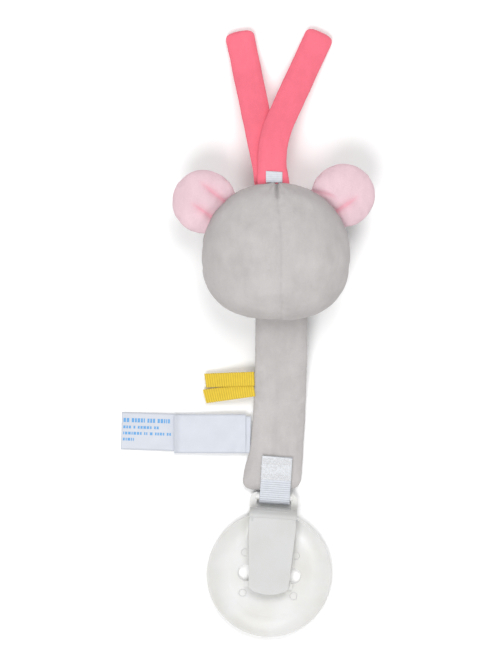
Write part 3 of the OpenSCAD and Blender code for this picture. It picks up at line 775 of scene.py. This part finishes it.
def make_fastener(side, node, heading, hooked):
    """A square of hook or loop tape under a strap's tip, with its hooks or loops facing down."""
    low, high = box_mm(node)
    centre = (low + high) / 2
    c, s = cos(heading), sin(heading)

    def place(u, v, z):
        return (centre.x + u * c + v * s, centre.y - u * s + v * c, z)

    steps = [PATCH_HALF * (k / 10 - 1) for k in range(21)]
    back = grid_piece(f"{node}_tape", [[place(u, v, high.z - 0.15) for u in steps] for v in steps])
    thicken(back, 0.28)
    dress(back, fastening_tape)
    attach(back, f"strap_{side}")
    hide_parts(node)
    fibres = []
    top = high.z - 0.3
    for i in range(FIBRES):
        for j in range(FIBRES):
            u, v = (PATCH_HALF * 0.86 * (2 * k / (FIBRES - 1) - 1) for k in (i, j))
            if hooked:
                fibres.append([place(u, v + forwards, top - down) for forwards, down in HOOK])
                continue
            a = random.uniform(0, tau)
            du, dv = LOOP_REACH * cos(a), LOOP_REACH * sin(a)
            u += random.uniform(-LOOP_STRAY, LOOP_STRAY)
            v += random.uniform(-LOOP_STRAY, LOOP_STRAY)
            fibres.append([place(u - du * t, v - dv * t, top - LOOP_DEPTH * (1 - t * t))
                           for t in (-1, -0.6, 0, 0.6, 1)])
    pile = tubes(f"{node}_pile", fibres, 0.07, sides=6)
    dress(pile, white_yarn)
    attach(pile, f"strap_{side}")


# ---- Face: embroidered eyes and a padded nose ----

FACE_SUNK = 0.35  # the edge of an eye or the nose lies this far inside the cover


def face_patch(name, lon, lat, half_lon, half_lat, proud, thread):
    """An oval dome on the face, placed and sized in degrees. thread is the pitch of its rows
    of satin stitches, or 0."""
    rows = []
    count = 60
    for i in range(count + 1):
        b = -1 + 2 * i / count
        wide = sqrt(max(1 - b * b, 0.0004))
        row = []
        for j in range(41):
            a = (-1 + 2 * j / 40) * wide
            far = min(a * a + b * b, 1)
            ridge = 0.05 * sin(tau * b * half_lat / thread) if thread else 0
            out = -FACE_SUNK + (proud + FACE_SUNK) * (1 - far) ** 0.4 + ridge
            row.append(head_point(radians(lon + half_lon * a),
                                  radians(lat + half_lat * b), out))
        rows.append(row)
    piece = grid_piece(f"{name}_cover", rows)
    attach(piece, "head")
    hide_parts(name)
    return piece


def make_face():
    for name, lon in (("eye_left", 246), ("eye_right", 294)):
        eye = face_patch(name, lon, lat=9, half_lon=5, half_lat=7, proud=0.6, thread=0.8)
        dress(eye, dark_yarn)
    nose = face_patch("nose", 270, lat=-8, half_lon=9, half_lat=7, proud=1.55, thread=0)
    remember_rest(nose)
    dress(nose, strong_pink_velour)


# ---- Body ----

body_low, body_high = box_mm("body_back_panel", "body_front_panel")
body_len = body_high.y - body_low.y
BODY_STEPS, BODY_RING = 114, 44
BODY_HIDDEN = 4.0  # the neck's length inside the head
BODY_TOP_X, BODY_LOW_X = 11.5, 8.2
BODY_TOP_W, BODY_LOW_W = 19.3, 21.4
BODY_HALF_T, BODY_LOW_HALF_T = 3.0, 2.4
BODY_FALL = 36.0  # it sinks from the neck to the table over this length
neck = anchor_mm("neck_bend")


def body_z(s):
    """Height of the middle of the body, s down from the head."""
    rest = body_low.z + BODY_LOW_HALF_T
    return neck.z + (rest - neck.z) * ease(s / BODY_FALL)


def splay(s):
    """0 along the body, and 1 at its lower end, which is wider and swings to the left."""
    return ease((s - body_len + 16) / 10)


def body_x(s):
    lean = (BODY_LOW_X - BODY_TOP_X) * (max(s, 0) / body_len) ** 2.5
    return BODY_TOP_X + lean - 0.45 * splay(s)


def body_half_w(s):
    width = BODY_TOP_W + (BODY_LOW_W - BODY_TOP_W) * (max(s, 0) / body_len) ** 4
    corners = 0.66 + 0.34 * round_end(body_len - s, 4.4)
    return (width + 0.8 * splay(s)) / 2 * corners


def body_half_t(s):
    thick = BODY_HALF_T + (BODY_LOW_HALF_T - BODY_HALF_T) * ease(s / (body_len - 12))
    return thick * round_end(body_len - s + 0.3, 3)


def body_fold(p):
    """How far a point is from the soft fold along the body, and the fold's strength there."""
    s = body_high.y - p.y
    off = p.x - body_x(s) + 1.0 + 0.8 * noise.noise(Vector((0, p.y / 12, 5)))
    return off, ease((s - 16) / 10) * (1 - ease((s - 48) / 8))


def body_relief(p):
    s = body_high.y - p.y
    from_edge = body_half_w(s) - abs(p.x - body_x(s))
    off, strength = body_fold(p)
    fold = -0.22 * bell(off, 0.8) * strength
    stitches = 0.03 * sin(p.y * 2.1 + 2 * noise.noise(p / 4)) * bell(from_edge, 1.6)
    seam = -0.15 * bell(p.z - body_z(s), 0.3) * bell(from_edge, 0.8)
    lumps = 0.14 * noise.noise(p / 8) + 0.05 * noise.noise(p / 3)
    return fold + stitches + seam + lumps


# Painted shade along the body's soft fold.
def body_crease_shade(p):
    off, strength = body_fold(p)
    return 0.10 * bell(off, 1.0) * strength


def make_body():
    stations = []
    for i in range(BODY_STEPS + 1):
        s = -BODY_HIDDEN + (body_len + BODY_HIDDEN) * i / BODY_STEPS
        half_w, half_t = body_half_w(s), body_half_t(s)
        stations.append((body_x(s), body_high.y - s, body_z(s), pi,
                         half_w - BODY_TUCK, max(half_t - BODY_TUCK, 0.1)))
    body = strip_piece("body_cover", stations, BODY_RING, bulge=0.75)
    inflate(body, edge_seams(BODY_STEPS + 1, BODY_RING), spare=0.012, cap=0.3, pressure=3)
    subdivide(body)
    sculpt(body, body_relief, body_crease_shade)
    remember_rest(body)
    dress(body, grey_velour)
    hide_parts("body_back_panel", "body_front_panel", "body_wadding")
    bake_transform(body)
    return body


# ---- Ribbons and label: flaps sewn into the body's left seam ----

def flap_point(root, dip, along, across, z):
    """A point of a flap that goes out to the left from root, turned by dip to the clip's side."""
    c, s = cos(dip), sin(dip)
    return (root.x - along * c - across * s, root.y - along * s + across * c, z)


RIBBON_W, RIBBON_T = 5.0, 0.33
RIBBON_HIDDEN = 1.2  # its length inside the seam
RIBBON_FALL = 3.2  # from the seam down to the table
STEPS_PER_RIB = 8


def make_ribbon(node, length, root_y, dip, above):
    """A grosgrain ribbon with real ribs, cut a little askew at its free end. Its root is at a
    height of above over the hinge."""
    hinge = anchor_mm("ribbon_flip")
    root = Vector((hinge.x - 0.2, root_y, hinge.z + above))
    count = int((length + RIBBON_HIDDEN) / RIBBON_RIB * STEPS_PER_RIB)
    runs = [-RIBBON_HIDDEN + (length + RIBBON_HIDDEN) * i / count for i in range(count + 1)]
    rows = []
    for run in runs:
        row = []
        for j in range(17):
            across = RIBBON_W * (j / 16 - 0.5)
            along = run + 0.12 * across * ease(run / length)
            wave = sin(tau * along / RIBBON_RIB)
            across += 0.05 * wave * ((j == 16) - (j == 0))
            curl = 0.12 * sin(along / 4 + across / 3) * ease(along / 8)
            z = root.z - RIBBON_FALL * ease(along / length) + 0.055 * wave + curl
            row.append(flap_point(root, dip, along, across, z))
        rows.append(row)
    ribbon = grid_piece(f"{node}_tape", rows, along=runs)
    thicken(ribbon, RIBBON_T)
    dress(ribbon, yellow_tape)
    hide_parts(node)
    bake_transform(ribbon)


# A label leaf: dip turns it to the clip's side, its last stretch, curl, bends up, and hidden
# is its length inside the seam.
Leaf = namedtuple("Leaf", "length height fall dip curl hidden")
LABEL_T = 0.22
LABEL_H = 14.0
# Rows of blank bars in place of print: height up the leaf, half height, length
PRINT_LINES = [(3.9, 0.75, 17.4), (1.4, 0.5, 13.2), (-0.8, 0.5, 17.6), (-3.0, 0.5, 4.6)]
PRINT_EDGE = 0.6  # the print starts this far from the leaf's end
PRINT_ABOVE = 0.135  # over the middle of the leaf's thickness
BAR_GAPS = (0.3, 0.3, 0.3, 0.9)


def leaf_rows(root, leaf, steps, lift=0.0, span=None):
    """Rows of points along a label leaf, or along a part of it, span, to print on. span is
    (from, to, low, high)."""
    whole = (-leaf.hidden, leaf.length, -leaf.height / 2, leaf.height / 2)
    start, end, low, high = span or whole
    rows = []
    for i in range(steps + 1):
        along = start + (end - start) * i / steps
        curled = max(0.0, along - leaf.length + leaf.curl) / leaf.curl if leaf.curl else 0.0
        row = []
        for j in range(17):
            across = low + (high - low) * j / 16
            ripple = 0.16 * noise.noise(Vector((along / 9, across / 6, 2 + leaf.length)))
            wave = (0.12 * sin(along / 5) + ripple) * ease(along / 8)
            dent = 0.7 * bell(along - 3.0, 3.0) * ease((-across - 1.5) / 4) * (leaf.curl > 0)
            z = root.z - leaf.fall * ease(along / leaf.length) + wave - dent
            z += 0.9 * curled * curled + lift
            row.append(flap_point(root, leaf.dip, along, across, z))
        rows.append(row)
    return rows


def make_leaf(name, node, root, leaf, steps):
    piece = grid_piece(name, leaf_rows(root, leaf, steps))
    thicken(piece, LABEL_T)
    dress(piece, label_satin)
    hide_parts(node)
    return piece


def make_print(root, leaf):
    """Rows of blank bars on the free end of a leaf."""
    bars = []
    for up, half, run in PRINT_LINES:
        end = leaf.length - PRINT_EDGE
        while end > leaf.length - PRINT_EDGE - run + 0.4:
            word = random.uniform(0.35, 0.95)
            span = (end - word, end, up - half, up + half)
            bars.append(grid_piece("label_print", leaf_rows(root, leaf, 4, PRINT_ABOVE, span)))
            end -= word + random.choice(BAR_GAPS)
    with bpy.context.temp_override(active_object=bars[0], selected_editable_objects=bars,
                                   object=bars[0], selected_objects=bars):
        bpy.ops.object.join()
    dress(bars[0], label_ink)
    return bars[0]


def make_label():
    """Two leaves, sewn in together: a long printed one, and a short blank one over it."""
    long_low, long_high = box_mm("label_long_leaf")
    short_low, short_high = box_mm("label_short_leaf")
    middle_y = (short_low.y + short_high.y) / 2
    long_root = Vector((short_high.x, middle_y - 0.35, long_high.z - 0.25))
    long_leaf = Leaf(length=45.1, height=LABEL_H - 0.6, fall=long_root.z - long_low.z - 0.25,
                     dip=radians(-1.8), curl=0, hidden=1.5)
    printed = make_leaf("label_long", "label_long_leaf", long_root, long_leaf, 120)
    short_root = Vector((short_high.x, middle_y, short_high.z - 0.2))
    short_leaf = Leaf(length=26.0, height=LABEL_H, fall=short_root.z - short_low.z - 0.2,
                      dip=0.0, curl=2.6, hidden=-0.2)  # it starts just outside the seam
    blank = make_leaf("label_short", "label_short_leaf", short_root, short_leaf, 80)
    marks = make_print(long_root, long_leaf)
    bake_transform(printed)
    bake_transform(marks)
    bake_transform(blank)


# ---- Webbing: a tape folded round the clip's bar and sewn to the body ----

WEB_W = 10.9
WEB_T = 0.68
WEB_TURN_R = 2.1  # radius of its turn round the bar
WEB_LEAVES = 5.8  # from here down it leaves the body's back
WEB_END = 4.6  # its under layer is sewn in from here up
SEWN_LEN = 8.3  # the part of the webbing that is stitched down
bar = anchor_mm("clip_swing")
clip_right = -Vector(next(j["axis"] for j in frame["joints"] if j["name"] == "clip_swing"))
clip_up = Vector((-clip_right.y, clip_right.x, 0))


def clip_place(x, y, z):
    """A point x across the clip and y up from the bar's axis, at height z."""
    p = bar + clip_right * x + clip_up * y
    return Vector((p.x, p.y, z))


def web_place(u, v, z):
    """The same from the webbing's middle, which is a little to the right."""
    return clip_place(u + 0.2, v, z)


def webbing_path(body, length):
    """The tape's middle line, as (v, z): the upper layer, the turn, then the layer under it."""
    surface = surface_of(body)
    steps = 60
    upper, lower = [], []
    for k in range(steps + 1):
        v = length * (1 - k / steps)
        spots = [web_place(u, max(v, WEB_LEAVES), 0).xy for u in (-4, 0, 4)]
        under = max(top_at(surface, *spot)[2] for spot in spots) + 0.12 + WEB_T / 2
        leaving = ease((WEB_LEAVES - v) / WEB_LEAVES)
        upper.append(Vector((v, under + (WEB_T + 0.06) * (1 - leaving)
                             + (bar.z + WEB_TURN_R - under) * leaving)))
        if v > WEB_END:
            lower.append(Vector((v, under)))
    ring = [Vector((WEB_TURN_R * cos(a), bar.z + WEB_TURN_R * sin(a)))
            for a in [radians(90 + 270 * k / 40) for k in range(1, 41)]]
    ends = [ring[-1], ring[-1] + Vector((0, 1.8)), lower[-1] - Vector((2.2, 0)), lower[-1]]
    climb = []
    for k in range(1, 12):
        t = k / 12
        climb.append(ends[0] * (1 - t) ** 3 + ends[1] * 3 * t * (1 - t) ** 2
                     + ends[2] * 3 * t * t * (1 - t) + ends[3] * t ** 3)
    return upper + ring + climb + lower[::-1]


def make_webbing(body):
    """One tape, sewn to the body and folded round the bar, with ribs where it isn't sewn."""
    high = box_mm("webbing_loop")[1]
    length = (high.y - bar.y + clip_right.y * WEB_W / 2) / clip_up.y
    path = webbing_path(body, length)
    distance = distances(path)
    count = int(distance[-1] / WEB_RIB * STEPS_PER_RIB)
    runs = [distance[-1] * i / count for i in range(count + 1)]
    rows, k = [], 0
    for d in runs:
        while k < len(path) - 2 and distance[k + 1] < d:
            k += 1
        t = (d - distance[k]) / (distance[k + 1] - distance[k])
        p = path[k].lerp(path[k + 1], t)
        ahead = (path[k + 1] - path[k]).normalized()
        sewn = 1 - ease((d - SEWN_LEN + 0.4) / 0.8)
        ridge = 0.07 * sin(tau * d / WEB_RIB) * (1 - sewn)
        v, z = p.x + ahead.y * ridge, p.y - ahead.x * ridge
        askew = 0.35 * (1 - ease(d / 2))
        rows.append([web_place(u, v - askew * (u / WEB_W + 0.5), z)
                     for u in [WEB_W * (j / 24 - 0.5) for j in range(25)]])
    band = grid_piece("webbing_band", rows, along=runs)
    dress(band, white_tape)
    band.data.materials.append(sewn_tape)
    for face in band.data.polygons:
        face.material_index = int(runs[face.index // 24] < SEWN_LEN)
    thicken(band, WEB_T)
    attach(band, "body_strap")
    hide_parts("webbing_loop", "webbing_stitching")
    return band, length


ZIGZAGS, ZIGZAG_HALF = 15, 0.42  # zigzag stitches in a row, and half their height
ZIGZAG_ROWS = (1.3, 2.4, 6.9, 7.9)  # down from the webbing's upper end
FLUFF_THREADS = 420


def make_stitching(band, length):
    """Zigzag rows and a fuzz of worn thread over the sewn end of the webbing."""
    surface = surface_of(band)
    level = box_mm("webbing_loop")[1].z

    def lay(u, v, lift):
        return top_at(surface, *web_place(u, v, 0).xy, lift, level)

    wide = (WEB_W - 0.9) / ZIGZAGS
    stitches = []
    for down in ZIGZAG_ROWS:
        for k in range(ZIGZAGS):
            u = (k - ZIGZAGS / 2) * wide
            swing = ZIGZAG_HALF if k % 2 else -ZIGZAG_HALF
            stitches.append([lay(u + wide * t, length - down + swing * (1 - 2 * t),
                                 0.04 + 0.15 * sin(pi * t)) for t in (0, 0.2, 0.5, 0.8, 1)])
    fluff = []
    for _ in range(FLUFF_THREADS):
        u = random.uniform(-0.48, 0.48) * WEB_W
        v = length - random.uniform(0.5, SEWN_LEN)
        a = random.uniform(0, tau)
        r = random.uniform(0.3, 0.7)
        fluff.append([lay(u + r * cos(a) * t, v + r * sin(a) * t,
                          0.02 + 0.06 * sin(pi * t)) for t in (0, 0.25, 0.5, 0.75, 1)])
    for name, paths, radius, sides in (("webbing_stitches", stitches, 0.17, 6),
                                       ("webbing_fluff", fluff, 0.09, 5)):
        threads = tubes(name, paths, radius, sides)
        dress(threads, white_yarn)
        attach(threads, "body_strap")


# ---- Clip: the CAD's own shapes, with softened edges and moulded plastic ----

def soften(node, material, width):
    """Gives a CAD node its material, and rounds its edges over width."""
    o = frame["nodes"][node]
    o.data.materials.clear()
    o.data.materials.append(material)
    weld = o.modifiers.new("Weld", "WELD")
    weld.merge_threshold = 0.01 * MM
    bevel = o.modifiers.new("Bevel", "BEVEL")
    bevel.width = width * MM
    bevel.segments = 2
    bevel.limit_method = "ANGLE"
    bevel.angle_limit = radians(35)
    bevel.use_clamp_overlap = True
    shading = o.modifiers.new("Shading", "WEIGHTED_NORMAL")
    shading.keep_sharp = True


DISC_BELOW_BAR = 27.9  # from the bar's axis down to the disc's middle
PIN_X, PIN_Y = 9.2, 7.3  # an ejector mark's place from the disc's middle
PIN_R, PIN_Z = 1.3, 2.02  # its radius, and the height of the disc's top there


def make_clip_marks():
    """Four shallow rings that the moulding's ejector pins leave on the disc."""
    turns = [tau * k / 32 for k in range(33)]
    rings = []
    for x in (-PIN_X, PIN_X):
        for y in (-DISC_BELOW_BAR - PIN_Y, -DISC_BELOW_BAR + PIN_Y):
            rings.append([clip_place(x + PIN_R * cos(a), y + PIN_R * sin(a), PIN_Z)
                          for a in turns])
    marks = tubes("clip_ejector_marks", rings, 0.16, sides=8)
    dress(marks, clip_plastic)
    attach(marks, "clip")


# ---- Studio ----

def area_light(name, place, size, power):
    """A round soft light that shines at the middle of the object."""
    data = bpy.data.lights.new(name, "AREA")
    data.shape, data.size, data.energy = "DISK", size, power
    lamp = new_object(name, data)
    lamp.location = place
    lamp.rotation_euler = (-Vector(place)).to_track_quat("-Z", "Y").to_euler()
    lamp.visible_camera = False


def make_studio():
    scene = bpy.context.scene
    scene.view_settings.view_transform = "Standard"
    world = bpy.data.worlds.new("studio")
    scene.world = world
    world.use_nodes = True
    back = world.node_tree.nodes["Background"]
    back.inputs["Color"].default_value = (1, 1, 1, 1)
    back.inputs["Strength"].default_value = 0.48
    area_light("key", place=(-0.2, -0.62, 1.35), size=0.7, power=11.5)
    area_light("fill", place=(0.15, 0.62, 1.35), size=0.8, power=9.0)
    half, level = 3000, -0.02  # the floor is just under the fabric
    floor = grid_piece("floor", [[(x, y, level) for x in np.linspace(-half, half, 9)]
                                 for y in np.linspace(-half, half, 9)])
    f = Finish("floor_paper", Roughness=0.95, Specular_IOR_Level=0.1)
    f.colour(f.ramp(f.noise(f.object_place(), 0.3, 2.0), (0.955,) * 3, (0.97,) * 3))
    floor.data.materials.append(f.material)


def make_camera():
    """Straight above, with the clip at the bottom of the picture, as the photograph looks."""
    distance = 2.6
    covered = 0.24084  # what the picture's height takes in, at the fabric's level
    level = 0.006
    data = bpy.data.cameras.new("camera")
    data.sensor_width = 36.0
    data.lens = data.sensor_width * (distance - level) / covered
    data.clip_end = 20.0
    camera = new_object("camera", data)
    camera.location = (0.27 * MM, -0.45 * MM, distance)
    bpy.context.scene.camera = camera


make_camera()
make_studio()
make_head()
make_ear("left", radians(145.4), [(-3.0, 0.0, 10.5, 0.9), (4.3, 0.07, 12.5, 0.9)])
make_ear("right", radians(39.9), [(-5.6, 1.3, 4.0, 0.5), (2.9, 0.1, 11.0, 1.0)])
near_strap = make_strap("near", near_path, NEAR_LEN, fall=NEAR_LEN, patch="hook_patch")
make_strap("far", far_path, FAR_LEN, fall=FAR_LEN - 3, patch="loop_patch")
make_anchor_tab(near_strap)
make_fastener("near", "hook_patch", NEAR_LEAN, hooked=True)
make_fastener("far", "loop_patch", FAR_LEAN, hooked=False)
make_face()
body = make_body()
make_ribbon("ribbon_upper", length=16.5, root_y=-16.4, dip=radians(2.2), above=0.33)
make_ribbon("ribbon_lower", length=16.9, root_y=-20.4, dip=radians(8.1), above=-0.33)
make_label()
make_stitching(*make_webbing(body))
soften("clip_body", clip_plastic, width=0.12)
soften("clip_lever", shaded_lever_plastic, width=0.35)
make_clip_marks()
